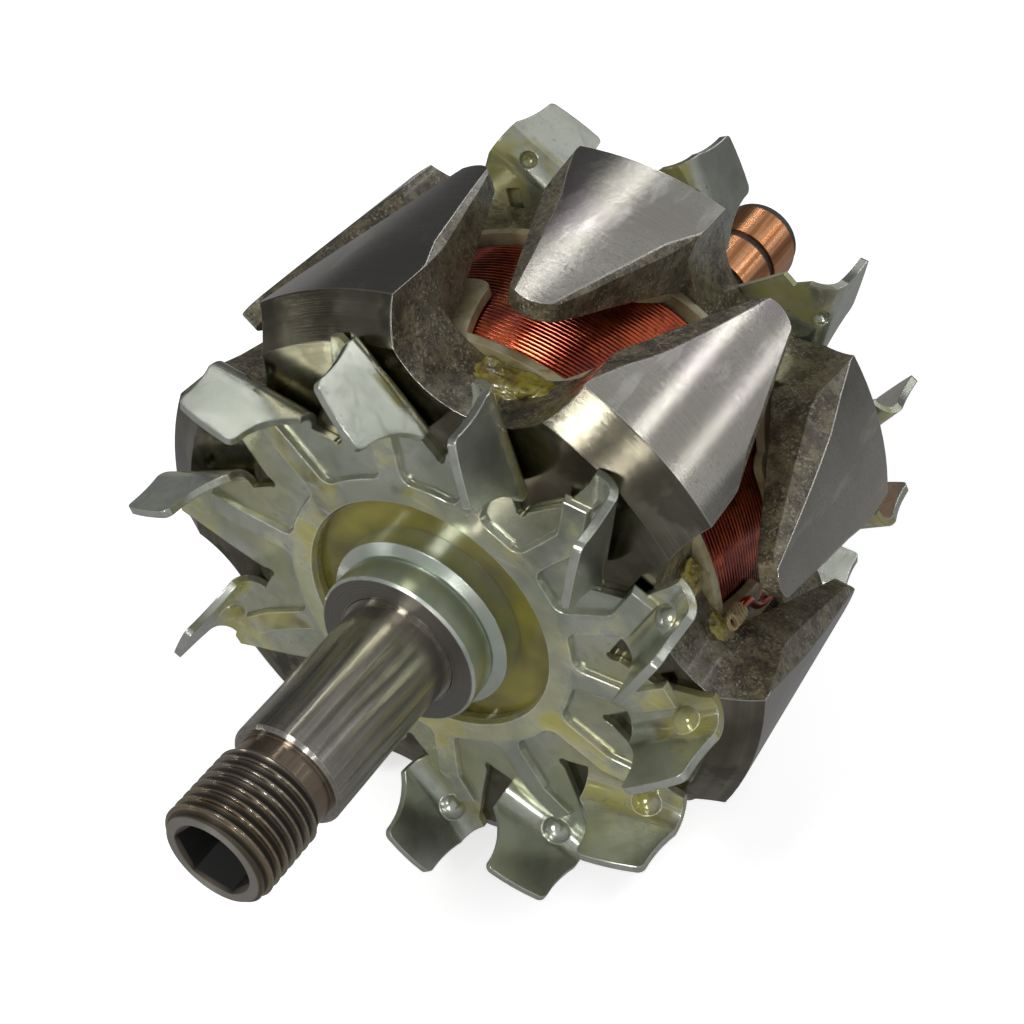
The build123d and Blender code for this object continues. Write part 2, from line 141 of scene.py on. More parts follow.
# one material, with its polar coordinates about the spin axis
class Finish:
    def __init__(self, name):
        self.material = bpy.data.materials.new(name)
        self.material.use_nodes = True
        self.tree = self.material.node_tree
        self.shader = self.tree.nodes["Principled BSDF"]
        self.spot = self.add("ShaderNodeTexCoord").outputs["Object"]
        parts = self.add("ShaderNodeSeparateXYZ", {0: self.spot}).outputs
        self.x, self.y, self.z = parts[0], parts[1], parts[2]
        self.radius = self.math("SQRT", self.math("ADD", self.math("MULTIPLY", self.x, self.x),
                                                  self.math("MULTIPLY", self.z, self.z)))

    def add(self, kind, inputs=None, **options):
        made = self.tree.nodes.new(kind)
        for key, value in options.items():
            setattr(made, key, value)
        for key, value in (inputs or {}).items():
            self.feed(made.inputs[key], value)
        return made

    def feed(self, socket, value):
        if isinstance(value, bpy.types.NodeSocket):
            self.tree.links.new(value, socket)
        else:
            socket.default_value = value

    def set(self, **values):
        names = {"colour": "Base Color", "metal": "Metallic", "rough": "Roughness", "normal": "Normal",
                 "coat": "Coat Weight", "coatRough": "Coat Roughness", "stretch": "Anisotropic",
                 "tangent": "Tangent", "under": "Subsurface Weight", "underReach": "Subsurface Scale"}
        for key, value in values.items():
            self.feed(self.shader.inputs[names[key]], value)

    def math(self, kind, a, b=0.0, c=0.0, clamp=False):
        return self.add("ShaderNodeMath", {0: a, 1: b, 2: c}, operation=kind, use_clamp=clamp).outputs[0]

    def step(self, value, low, high, start=0.0, end=1.0):
        return self.add("ShaderNodeMapRange", {"Value": value, "From Min": low, "From Max": high,
                                               "To Min": start, "To Max": end},
                        interpolation_type="SMOOTHSTEP").outputs[0]

    def fall(self, value, low, high):
        return self.step(value, low, high, 1.0, 0.0)

    def band(self, value, low, high, soft):
        rise = self.step(value, low - soft, low + soft)
        return self.math("MULTIPLY", rise, self.fall(value, high - soft, high + soft))

    def both(self, *masks):
        whole = masks[0]
        for mask in masks[1:]:
            whole = self.math("MULTIPLY", whole, mask)
        return whole

    def either(self, *masks):
        whole = masks[0]
        for mask in masks[1:]:
            whole = self.math("MAXIMUM", whole, mask)
        return whole

    def no(self, mask):
        return self.math("SUBTRACT", 1.0, mask)

    def join(self, x, y, z):
        return self.add("ShaderNodeCombineXYZ", {0: x, 1: y, 2: z}).outputs[0]

    # object coordinates with each axis stretched by its own factor
    def scaled(self, x, y, z):
        return self.add("ShaderNodeMapping", {"Vector": self.spot, "Scale": (x, y, z)}).outputs[0]

    def rings(self):
        return self.join(self.radius, self.y, 0.0)

    def noise(self, where, size, detail=3.0, rough=0.55, bend=0.0):
        return self.add("ShaderNodeTexNoise", {"Vector": where, "Scale": size, "Detail": detail,
                                               "Roughness": rough, "Distortion": bend}).outputs[0]

    def mix(self, mask, a, b):
        made = self.add("ShaderNodeMix", data_type="RGBA")
        self.feed(made.inputs[0], mask)
        self.feed(made.inputs[6], a)
        self.feed(made.inputs[7], b)
        return made.outputs[2]

    # the colour with a share of another one laid over it where the mask says so
    def tint(self, colour, other, mask, share):
        return self.mix(self.math("MULTIPLY", mask, share), colour, other)

    def blend(self, mask, a, b):
        made = self.add("ShaderNodeMix", data_type="FLOAT")
        self.feed(made.inputs[0], mask)
        self.feed(made.inputs[2], a)
        self.feed(made.inputs[3], b)
        return made.outputs[0]

    def bump(self, height, strength, reach, under=None):
        made = self.add("ShaderNodeBump", {"Height": height, "Strength": strength, "Distance": reach})
        if under is not None:
            self.feed(made.inputs["Normal"], under)
        return made.outputs[0]

    def choose(self, mask, a, b):
        return self.add("ShaderNodeMix", {0: mask, 4: a, 5: b}, data_type="VECTOR").outputs[1]

    def dot(self, a, b):
        return self.add("ShaderNodeVectorMath", {0: a, 1: b}, operation="DOT_PRODUCT").outputs["Value"]

    # rounds the shading over sharp edges, and gives a mask of those edges
    def softEdge(self, reach):
        edge = self.add("ShaderNodeBevel", {"Radius": reach}, samples=6).outputs[0]
        face = self.add("ShaderNodeNewGeometry").outputs["Normal"]
        return edge, self.step(self.dot(edge, face), 0.99, 0.93)

    # the true cylinder's normal on its facets, and elsewhere the edge's own
    def trueRound(self, edge):
        outwards = self.join(self.math("DIVIDE", self.x, self.radius), 0.0,
                             self.math("DIVIDE", self.z, self.radius))
        facet = self.add("ShaderNodeNewGeometry").outputs["True Normal"]
        return self.choose(self.step(self.dot(facet, outwards), 0.975, 0.988), edge, outwards)

    # the same, with turned ends kept level too
    def trueTurned(self, edge):
        facet = self.add("ShaderNodeNewGeometry").outputs["True Normal"]
        level = self.math("ABSOLUTE", self.dot(facet, (0.0, 1.0, 0.0)))
        return self.choose(self.step(level, 0.990, 0.998), self.trueRound(edge), facet)

    # along the spin axis on a cylinder, outwards on a flat end, for the stretched highlights of turning
    def acrossTurning(self):
        return self.join(self.math("MULTIPLY", self.x, 30.0), 1.0, self.math("MULTIPLY", self.z, 30.0))


def rgb(r, g, b):
    return (r, g, b, 1.0)


# two sizes in millimetres as the frame's metres
def span(pair):
    return [size * mm for size in pair]


def dress(finish, *names):
    for name in names:
        part = nodes[name]
        if part.material_slots:
            for place in part.material_slots:
                place.material = finish.material
        else:
            part.data.materials.append(finish.material)


# materials

poleLook = {
    "faceRadius": 49.8, "bandInner": 43.9, "bandDepth": 3.5,
    "middle": 36.4, "halfLength": 26.5, "varnishTo": 21.5,
    "machined": rgb(0.37, 0.355, 0.315), "machinedPale": rgb(0.46, 0.445, 0.40),
    "violet": rgb(0.40, 0.345, 0.39),
    "groove": rgb(0.22, 0.20, 0.175), "speck": rgb(0.12, 0.10, 0.085), "rubbed": rgb(0.66, 0.65, 0.62),
    "bandDark": rgb(0.10, 0.088, 0.052), "bandPale": rgb(0.25, 0.235, 0.175),
    "bandGroove": rgb(0.06, 0.055, 0.035), "bandPatch": rgb(0.050, 0.042, 0.022),
    "varnish": rgb(0.21, 0.185, 0.016), "varnishDeep": rgb(0.07, 0.060, 0.008),
    "olive": rgb(0.19, 0.16, 0.088), "brown": rgb(0.056, 0.043, 0.024), "grey": rgb(0.20, 0.18, 0.14),
    "dust": rgb(0.34, 0.31, 0.22), "black": rgb(0.018, 0.014, 0.009),
    "wornForged": rgb(0.22, 0.20, 0.15), "wornTurned": rgb(0.70, 0.67, 0.62),
}


# forged skin between the turned faces, with grit and black pits
def forgedColour(f, worn):
    s = poleLook
    colour = f.mix(f.step(f.noise(f.spot, 330, 5, 0.7), 0.38, 0.66), s["brown"], s["olive"])
    colour = f.tint(colour, s["grey"], f.step(f.noise(f.spot, 48, 2, 0.5), 0.52, 0.66), 0.45)
    grit = f.both(f.step(f.noise(f.spot, 2100, 3, 0.7), 0.52, 0.62),
                  f.step(f.noise(f.spot, 240, 3, 0.6), 0.38, 0.58))
    colour = f.tint(colour, s["dust"], grit, 0.8)
    pit = f.both(f.step(f.noise(f.spot, 900, 4, 0.7), 0.52, 0.64), f.no(grit))
    colour = f.tint(colour, s["black"], pit, 0.6)
    return f.tint(colour, s["wornForged"], worn, 0.35)


def poleSteel():
    f = Finish("poleSteel")
    s = poleLook
    edge, worn = f.softEdge(0.3 * mm)
    depth = f.math("ABSOLUTE", f.math("SUBTRACT", f.y, s["middle"] * mm))
    face = f.step(f.radius, (s["faceRadius"] - 0.16) * mm, (s["faceRadius"] - 0.10) * mm)
    slope = (s["faceRadius"] - s["bandInner"]) / s["bandDepth"]
    bandStart = (s["halfLength"] - s["bandDepth"]) * mm
    cone = f.math("ADD", f.radius, f.math("MULTIPLY", f.math("SUBTRACT", depth, bandStart), slope))
    band = f.both(f.step(cone, (s["faceRadius"] - 0.25) * mm, (s["faceRadius"] - 0.15) * mm),
                  f.step(depth, bandStart - 0.02 * mm, bandStart + 0.05 * mm))
    end = f.step(depth, (s["halfLength"] - 0.06) * mm, (s["halfLength"] - 0.02) * mm)
    turned = f.either(face, band, end)
    glossy = f.both(end, f.fall(f.radius, (s["varnishTo"] - 0.6) * mm, s["varnishTo"] * mm))

    cloud = f.noise(f.spot, 55, 3, 0.6)
    wide = f.noise(f.spot, 30, 2, 0.5, 0.6)
    fine = f.noise(f.spot, 900, 4, 0.6)
    lathe = f.noise(f.rings(), 5200, 3, 0.7)
    broad = f.noise(f.rings(), 900, 3, 0.6)
    speck = f.both(f.step(f.noise(f.spot, 2600, 3, 0.75), 0.52, 0.66), f.step(cloud, 0.30, 0.62, 0.15, 1.0))
    rubbed = f.both(f.step(f.noise(f.scaled(260, 60, 260), 1.0, 3, 0.6), 0.56, 0.68), face)
    patch = f.step(f.noise(f.scaled(130, 35, 130), 1.0, 3, 0.6), 0.50, 0.58)
    pool = f.step(f.noise(f.spot, 62, 3, 0.5, 0.3), 0.30, 0.70)

    metalColour = f.mix(f.step(cloud, 0.35, 0.65), s["machined"], s["machinedPale"])
    metalColour = f.tint(metalColour, s["violet"], f.step(wide, 0.54, 0.7), 0.5)
    metalColour = f.tint(metalColour, s["groove"], f.step(lathe, 0.35, 0.65), 0.30)
    metalColour = f.tint(metalColour, s["speck"], speck, 0.42)
    metalColour = f.tint(metalColour, s["rubbed"], rubbed, 0.35)
    bandColour = f.mix(f.step(cloud, 0.4, 0.62), s["bandDark"], s["bandPale"])
    bandColour = f.tint(bandColour, s["bandGroove"], f.step(broad, 0.4, 0.62), 0.4)
    bandColour = f.tint(bandColour, s["bandPatch"], patch, 0.75)
    metalColour = f.tint(metalColour, bandColour, f.either(band, end), 0.85)
    metalColour = f.mix(glossy, metalColour, f.mix(pool, s["varnish"], s["varnishDeep"]))
    colour = f.mix(turned, forgedColour(f, worn), metalColour)
    colour = f.tint(colour, s["wornTurned"], f.both(worn, turned), 0.6)

    rough = f.blend(turned, f.blend(f.step(fine, 0.3, 0.7), 0.24, 0.52),
                    f.blend(f.step(cloud, 0.3, 0.7), 0.12, 0.17))
    rough = f.blend(band, rough, 0.15)
    rough = f.blend(glossy, rough, 0.10)
    pits = f.math("ADD", f.math("MULTIPLY", fine, 0.8), f.noise(f.spot, 300, 4, 0.65))
    pits = f.math("ADD", pits, f.math("MULTIPLY", f.noise(f.spot, 2500, 2, 0.6), 0.35))
    marks = f.math("ADD", f.math("MULTIPLY", lathe, 0.07), f.math("MULTIPLY", broad, 0.05))
    marks = f.blend(glossy, marks, f.math("MULTIPLY", f.noise(f.spot, 95, 2, 0.5), 2.2))
    f.set(colour=colour, metal=f.blend(glossy, f.blend(turned, 0.30, 1.0), 0.15), rough=rough, stretch=0.72,
          tangent=f.acrossTurning(),
          normal=f.bump(f.blend(turned, pits, marks), 0.60, 0.35 * mm, f.trueRound(edge)),
          coat=f.either(f.blend(turned, 0.55, 0.0), glossy), coatRough=0.13)
    return f


zincLook = {
    "middle": 36.4, "halfLength": 26.5, "hub": 23.6,
    "floor": (1.6, 2.6), "lowPart": (1.25, 2.0), "fold": (1.7, 4.6),       # heights over the pole face
    "pockets": (25.0, 40.0), "slotEnds": (36.5, 41.0),                     # radii
    "pale": rgb(0.62, 0.64, 0.55), "green": rgb(0.40, 0.435, 0.35), "yellow": rgb(0.55, 0.54, 0.31),
    "blade": rgb(0.58, 0.60, 0.54), "foot": rgb(0.13, 0.115, 0.08), "cut": rgb(0.80, 0.79, 0.72),
    "varnish": rgb(0.30, 0.27, 0.022), "varnishDeep": rgb(0.060, 0.050, 0.006),
    "varnishThin": rgb(0.43, 0.41, 0.15), "smudge": rgb(0.27, 0.285, 0.235),
    "stain": rgb(0.06, 0.045, 0.018), "scratch": rgb(0.62, 0.62, 0.57),
}


def fanZinc():
    f = Finish("fanZinc")
    s = zincLook
    # this edge mask carries bare cut edges, painted shade at the ribs' feet and a painted highlight on the
    # upper edges
    edge, worn = f.softEdge(0.32 * mm)
    above = f.math("SUBTRACT", f.math("ABSOLUTE", f.math("SUBTRACT", f.y, s["middle"] * mm)),
                   s["halfLength"] * mm)
    onFloor = f.fall(above, *span(s["floor"]))
    low = f.step(above, *span(s["lowPart"]), 1.0, 0.15)
    fold = f.band(above, *span(s["fold"]), 0.5 * mm)
    hub = f.fall(f.radius, (s["hub"] - 0.7) * mm, (s["hub"] + 0.2) * mm)

    cloud = f.noise(f.spot, 75, 3, 0.6, 0.4)
    blotch = f.noise(f.spot, 190, 4, 0.6, 0.6)
    fine = f.noise(f.spot, 1700, 3, 0.65)
    depth = f.noise(f.spot, 62, 3, 0.55, 0.5)
    pocket = f.both(onFloor, low, f.step(f.noise(f.spot, 55, 2, 0.5, 0.3), 0.36, 0.60),
                    f.band(f.radius, *span(s["pockets"]), 2.5 * mm))
    tips = f.both(onFloor, f.step(f.radius, *span(s["slotEnds"])),
                  f.step(f.noise(f.spot, 70, 3, 0.6), 0.42, 0.54))
    varnish = f.either(f.both(onFloor, hub, f.step(blotch, 0.10, 0.40)), f.math("MULTIPLY", tips, 0.85),
                       f.both(onFloor, low, f.step(blotch, 0.60, 0.82), 0.6),
                       f.both(fold, f.step(f.noise(f.spot, 85, 3, 0.6), 0.44, 0.62)))
    smudge = f.step(f.noise(f.spot, 260, 5, 0.7, 0.8), 0.46, 0.66)
    spots = f.both(f.step(f.noise(f.spot, 1100, 3, 0.7), 0.62, 0.70), f.step(cloud, 0.46, 0.62))
    scratch = f.step(f.noise(f.scaled(140, 1900, 620), 1.0, 2, 0.5), 0.62, 0.70)

    colour = f.mix(f.step(cloud, 0.34, 0.66), s["green"], s["pale"])
    colour = f.tint(colour, s["yellow"], pocket, 0.70)
    colour = f.tint(colour, s["blade"], f.no(onFloor), 0.45)
    resinColour = f.mix(f.step(depth, 0.36, 0.52), s["varnishDeep"], s["varnish"])
    resinColour = f.tint(resinColour, s["varnishThin"], f.step(depth, 0.54, 0.68), 0.7)
    colour = f.tint(colour, resinColour, varnish, 0.9)
    colour = f.tint(colour, s["smudge"], smudge, 0.30)
    colour = f.tint(colour, s["stain"], spots, 0.45)
    colour = f.tint(colour, s["scratch"], scratch, 0.25)
    # painted shade: near-black laid on the low edges, where the ribs meet the floor of the sheet
    colour = f.tint(colour, s["foot"], f.both(worn, low), 0.55)
    # pale upper edges: bare cut edges of the sheet, and a painted highlight along the rib edges
    colour = f.tint(colour, s["cut"], f.both(worn, f.no(low)), 0.8)

    rough = f.blend(varnish, f.blend(f.step(fine, 0.3, 0.7), 0.22, 0.25), 0.10)
    rough = f.blend(worn, rough, 0.18)
    height = f.math("ADD", f.math("MULTIPLY", f.noise(f.spot, 95, 1, 0.4), 1.3),
                    f.math("MULTIPLY", blotch, 0.10))
    f.set(colour=colour, metal=f.blend(varnish, 0.92, 0.30), rough=rough,
          normal=f.bump(height, 0.45, 0.30 * mm, edge),
          coat=f.math("MULTIPLY", varnish, 0.9), coatRough=0.06)
    return f


collarLook = {
    "front": (0.02, 0.08),
    "green": rgb(0.56, 0.63, 0.54), "pale": rgb(0.70, 0.73, 0.66), "blush": rgb(0.62, 0.50, 0.58),
    "groove": rgb(0.17, 0.158, 0.14), "turned": rgb(0.235, 0.22, 0.195), "worn": rgb(0.76, 0.75, 0.70),
}


def collarZinc():
    f = Finish("collarZinc")
    s = collarLook
    edge, worn = f.softEdge(0.2 * mm)
    facing = f.fall(f.y, *span(s["front"]))
    lathe = f.noise(f.rings(), 4200, 2, 0.6)
    cloud = f.noise(f.spot, 120, 3, 0.6)
    blush = f.noise(f.spot, 75, 2, 0.5, 0.8)
    side = f.mix(f.step(cloud, 0.38, 0.62), s["green"], s["pale"])
    side = f.tint(side, s["blush"], f.step(blush, 0.5, 0.68), 0.45)
    front = f.mix(f.step(lathe, 0.3, 0.7), s["groove"], s["turned"])
    colour = f.tint(f.mix(facing, side, front), s["worn"], worn, 0.6)
    height = f.math("ADD", f.math("MULTIPLY", lathe, 0.10),
                    f.math("MULTIPLY", f.noise(f.spot, 500, 3, 0.6), 0.15))
    f.set(colour=colour, metal=0.95, rough=f.blend(facing, 0.27, 0.42), stretch=0.5,
          tangent=f.acrossTurning(), normal=f.bump(height, 0.35, 0.2 * mm, edge))
    return f


steelLook = {
    "frontEnd": (-41.25, -41.15), "threadStops": (-29.2, -28.8), "threadRoot": (7.35, 7.75),
    "neck": (-28.9, -26.2), "goldFades": (-34.0, -39.5),
    "socketMouth": (-41.15, -40.6), "socketWall": (6.0, 6.3), "socketBottom": (-26.0, -25.0),
    "steel": rgb(0.36, 0.335, 0.29), "steelPale": rgb(0.43, 0.405, 0.36), "groove": rgb(0.20, 0.185, 0.155),
    "rubbedPale": rgb(0.60, 0.57, 0.53), "rubbedDark": rgb(0.17, 0.15, 0.125), "rust": rgb(0.20, 0.15, 0.09),
    "neckRustAndReflection": rgb(0.24, 0.155, 0.085), "threadOil": rgb(0.25, 0.205, 0.125), "gold": rgb(0.30, 0.215, 0.10),
    "threadRootDark": rgb(0.030, 0.024, 0.020), "socketShade": rgb(0.006, 0.005, 0.004),
    "endFace": rgb(0.24, 0.225, 0.195), "worn": rgb(0.70, 0.68, 0.64),
}


def shaftSteel():
    f = Finish("shaftSteel")
    s = steelLook
    edge, worn = f.softEdge(0.12 * mm)
    lathe = f.noise(f.rings(), 5600, 3, 0.65)
    cloud = f.noise(f.spot, 140, 3, 0.6, 0.3)
    rust = f.noise(f.spot, 420, 4, 0.65)
    rubbed = f.noise(f.scaled(1900, 5, 1900), 1.0, 2, 0.5)
    endFace = f.fall(f.y, *span(s["frontEnd"]))
    thread = f.fall(f.y, *span(s["threadStops"]))
    root = f.both(thread, f.fall(f.radius, *span(s["threadRoot"])))
    threadSide = f.both(thread, f.no(endFace))
    gold = f.both(f.step(f.y, *span(s["goldFades"]), 0.35, 1.0), thread, f.no(endFace))
    inside = f.both(f.step(f.y, *span(s["socketMouth"])), f.fall(f.radius, *span(s["socketWall"])),
                    f.fall(f.y, *span(s["socketBottom"])))

    colour = f.mix(f.step(cloud, 0.30, 0.70), s["steel"], s["steelPale"])
    colour = f.tint(colour, s["groove"], f.step(lathe, 0.4, 0.6), 0.16)
    colour = f.tint(colour, s["rubbedPale"], f.step(rubbed, 0.50, 0.66), 0.22)
    colour = f.tint(colour, s["rubbedDark"], f.fall(rubbed, 0.34, 0.48), 0.22)
    colour = f.tint(colour, s["rust"], f.step(rust, 0.62, 0.72), 0.4)
    # the neck band painted rust brown: rust, with a painted warm brown reflection
    colour = f.tint(colour, s["neckRustAndReflection"], f.band(f.y, *span(s["neck"]), 0.15 * mm), 0.65)
    colour = f.tint(colour, s["threadOil"], threadSide, 0.35)
    colour = f.tint(colour, s["gold"], gold, 0.55)
    # the thread's roots laid near black
    colour = f.tint(colour, s["threadRootDark"], root, 0.85)
    # painted shade: the socket's inside laid near black
    colour = f.mix(inside, colour, s["socketShade"])
    colour = f.tint(colour, s["endFace"], endFace, 0.6)
    colour = f.tint(colour, s["worn"], f.both(worn, f.no(root)), 0.5)

    rough = f.blend(f.either(root, inside), f.blend(f.step(cloud, 0.3, 0.7), 0.17, 0.21), 0.6)
    rough = f.blend(inside, rough, 0.9)
    height = f.math("ADD", f.math("MULTIPLY", lathe, 0.10), f.math("MULTIPLY", rust, 0.04))
    f.set(colour=colour, metal=f.blend(inside, f.blend(root, 1.0, 0.5), 0.0), rough=rough, stretch=0.9,
          tangent=f.acrossTurning(), normal=f.bump(height, 0.30, 0.15 * mm, f.trueTurned(edge)))
    return f


bobbinLook = {"pale": rgb(0.42, 0.37, 0.22), "dark": rgb(0.27, 0.225, 0.115), "stain": rgb(0.14, 0.095, 0.03)}


def bobbinPlastic():
    f = Finish("bobbinPlastic")
    s = bobbinLook
    edge = f.softEdge(0.3 * mm)[0]
    cloud = f.noise(f.spot, 150, 4, 0.6, 0.5)
    stain = f.noise(f.spot, 420, 3, 0.6)
    colour = f.mix(f.step(cloud, 0.35, 0.65), s["pale"], s["dark"])
    colour = f.tint(colour, s["stain"], f.step(stain, 0.56, 0.7), 0.6)
    height = f.noise(f.spot, 700, 3, 0.6)
    f.set(colour=colour, metal=0.0, rough=0.34, normal=f.bump(height, 0.25, 0.2 * mm, edge),
          coat=0.35, coatRough=0.12, under=0.12, underReach=0.002)
    return f


wireLook = {
    "gaps": (37.50, 37.95),
    "bright": rgb(0.82, 0.145, 0.040), "dark": rgb(0.33, 0.040, 0.016),
    "soot": rgb(0.05, 0.014, 0.009), "gap": rgb(0.045, 0.010, 0.007),
}


def windingCopper():
    f = Finish("windingCopper")
    s = wireLook
    cloud = f.noise(f.spot, 120, 3, 0.6)
    soot = f.noise(f.spot, 900, 3, 0.6)
    # painted shade: the wires' flanks deep in the winding laid near black, as the shade between the wires
    gap = f.fall(f.radius, *span(s["gaps"]))
    colour = f.mix(f.step(cloud, 0.36, 0.62), s["bright"], s["dark"])
    colour = f.tint(colour, s["soot"], f.step(soot, 0.52, 0.68), 0.6)
    colour = f.tint(colour, s["gap"], gap, 0.8)
    f.set(colour=colour, metal=0.88, rough=0.15, normal=f.bump(soot, 0.10, 0.1 * mm),
          coat=0.7, coatRough=0.08)
    return f


ringLook = {"dark": rgb(0.50, 0.20, 0.075), "bright": rgb(0.70, 0.36, 0.18), "groove": rgb(0.38, 0.13, 0.05)}


def ringCopper():
    f = Finish("ringCopper")
    s = ringLook
    edge = f.softEdge(0.12 * mm)[0]
    streak = f.noise(f.scaled(900, 30, 900), 1.0, 3, 0.6)
    lathe = f.noise(f.rings(), 4600, 3, 0.65)
    colour = f.mix(f.step(streak, 0.38, 0.62), s["dark"], s["bright"])
    colour = f.tint(colour, s["groove"], f.step(lathe, 0.45, 0.65), 0.3)
    f.set(colour=colour, metal=1.0, rough=0.26, stretch=0.6, tangent=f.acrossTurning(),
          normal=f.bump(lathe, 0.2, 0.08 * mm, edge))
    return f


mouldingLook = {
    "dark": rgb(0.022, 0.022, 0.020), "pale": rgb(0.050, 0.048, 0.042), "worn": rgb(0.12, 0.115, 0.10),
}


def darkMoulding():
    f = Finish("darkMoulding")
    s = mouldingLook
    edge, worn = f.softEdge(0.15 * mm)
    grain = f.noise(f.spot, 1600, 3, 0.6)
    colour = f.tint(f.mix(f.step(grain, 0.35, 0.65), s["dark"], s["pale"]), s["worn"], worn, 0.4)
    f.set(colour=colour, metal=0.0, rough=f.blend(grain, 0.40, 0.60),
          normal=f.bump(grain, 0.3, 0.12 * mm, edge))
    return f


brassLook = {"dark": rgb(0.50, 0.34, 0.13), "bright": rgb(0.74, 0.56, 0.27), "worn": rgb(0.85, 0.72, 0.42)}


def clipBrass():
    f = Finish("clipBrass")
    s = brassLook
    edge, worn = f.softEdge(0.1 * mm)
    cloud = f.noise(f.spot, 500, 3, 0.6)
    colour = f.tint(f.mix(f.step(cloud, 0.35, 0.65), s["dark"], s["bright"]), s["worn"], worn, 0.5)
    f.set(colour=colour, metal=1.0, rough=f.blend(cloud, 0.24, 0.42),
          normal=f.bump(cloud, 0.2, 0.08 * mm, edge))
    return f


sleeveLook = {"dark": rgb(0.24, 0.17, 0.065), "pale": rgb(0.42, 0.32, 0.16), "stain": rgb(0.20, 0.12, 0.05)}


def sleeveWeave():
    f = Finish("sleeveWeave")
    s = sleeveLook
    weave = f.add("ShaderNodeTexWave", {"Vector": f.spot, "Scale": 900, "Distortion": 2.0, "Detail": 1.0},
                  wave_type="BANDS", bands_direction="DIAGONAL").outputs[1]
    cloud = f.noise(f.spot, 600, 3, 0.6)
    colour = f.tint(f.mix(weave, s["dark"], s["pale"]), s["stain"], f.step(cloud, 0.5, 0.7), 0.5)
    f.set(colour=colour, metal=0.0, rough=0.45, normal=f.bump(weave, 0.5, 0.15 * mm), coat=0.5, coatRough=0.2)
    return f


pole = poleSteel()
zinc = fanZinc()
collar = collarZinc()
steel = shaftSteel()
plastic = bobbinPlastic()
copperWire = windingCopper()
copper = ringCopper()
moulding = darkMoulding()
brass = clipBrass()
sleeve = sleeveWeave()
dress(pole, "front_claw_pole", "rear_claw_pole", "pole_core")
dress(zinc, "front_fan", "rear_fan")
dress(collar, "front_collar")
dress(steel, "shaft")
dress(plastic, "bobbin")
dress(copperWire, "field_winding", "lead_outer", "lead_inner")
dress(copper, "slip_ring_front", "slip_ring_rear", "ring_bar_a", "ring_bar_b")
dress(moulding, "slip_ring_body", "terminal_hub")
dress(brass, "terminal_clip_a", "terminal_clip_b")
dress(sleeve, "groove_sleeve_a", "groove_sleeve_b", "lead_tie")
print("materials made")


# helpers for meshes

def newPiece(name, mesh, finish):
    piece = bpy.data.objects.new(name, mesh)
    bpy.context.scene.collection.objects.link(piece)
    if not mesh.materials:
        mesh.materials.append(finish.material)
    return piece


def smoothShade(mesh, angle=35):
    for face in mesh.polygons:
        face.use_smooth = True
    mesh.set_sharp_from_angle(angle=math.radians(angle))


# the piece with its modifiers worked out and taken off
def frozen(piece):
    ready = piece.evaluated_get(bpy.context.evaluated_depsgraph_get())
    mesh = bpy.data.meshes.new_from_object(ready)
    piece.modifiers.clear()
    piece.data = mesh
    return piece


# a Geometry Nodes tree with named inputs
class Growth:
    def __init__(self, name, **sizes):
        self.tree = bpy.data.node_groups.new(name, "GeometryNodeTree")
        self.sizes = sizes
        self.keys = {}
        for label, value in sizes.items():
            kind = "NodeSocketInt" if isinstance(value, int) else "NodeSocketFloat"
            socket = self.tree.interface.new_socket(label, in_out="INPUT", socket_type=kind)
            self.keys[label] = socket.identifier
        self.tree.interface.new_socket("Geometry", in_out="OUTPUT", socket_type="NodeSocketGeometry")
        self.given = self.tree.nodes.new("NodeGroupInput").outputs

    def add(self, kind, inputs=None, **options):
        made = self.tree.nodes.new(kind)
        for key, value in options.items():
            setattr(made, key, value)
        for key, value in (inputs or {}).items():
            if isinstance(value, bpy.types.NodeSocket):
                self.tree.links.new(value, made.inputs[key])
            else:
                made.inputs[key].default_value = value
        return made

    def finish(self, name, shape, finish):
        real = self.add("GeometryNodeRealizeInstances", {0: shape})
        painted = self.add("GeometryNodeSetMaterial",
                           {"Geometry": real.outputs[0], "Material": finish.material})
        last = self.tree.nodes.new("NodeGroupOutput")
        self.tree.links.new(painted.outputs[0], last.inputs[0])
        piece = newPiece(name, bpy.data.meshes.new(name), finish)
        growing = piece.modifiers.new(name, "NODES")
        growing.node_group = self.tree
        for label, value in self.sizes.items():
            growing[self.keys[label]] = value
        return frozen(piece)


# field winding, one long wire wound side by side

coil = {"outer": 38.0, "from": 23.0, "to": 49.8, "wire": 0.8, "steps": 110, "around": 8,
        "drumUnder": 0.62, "drumSides": 96}


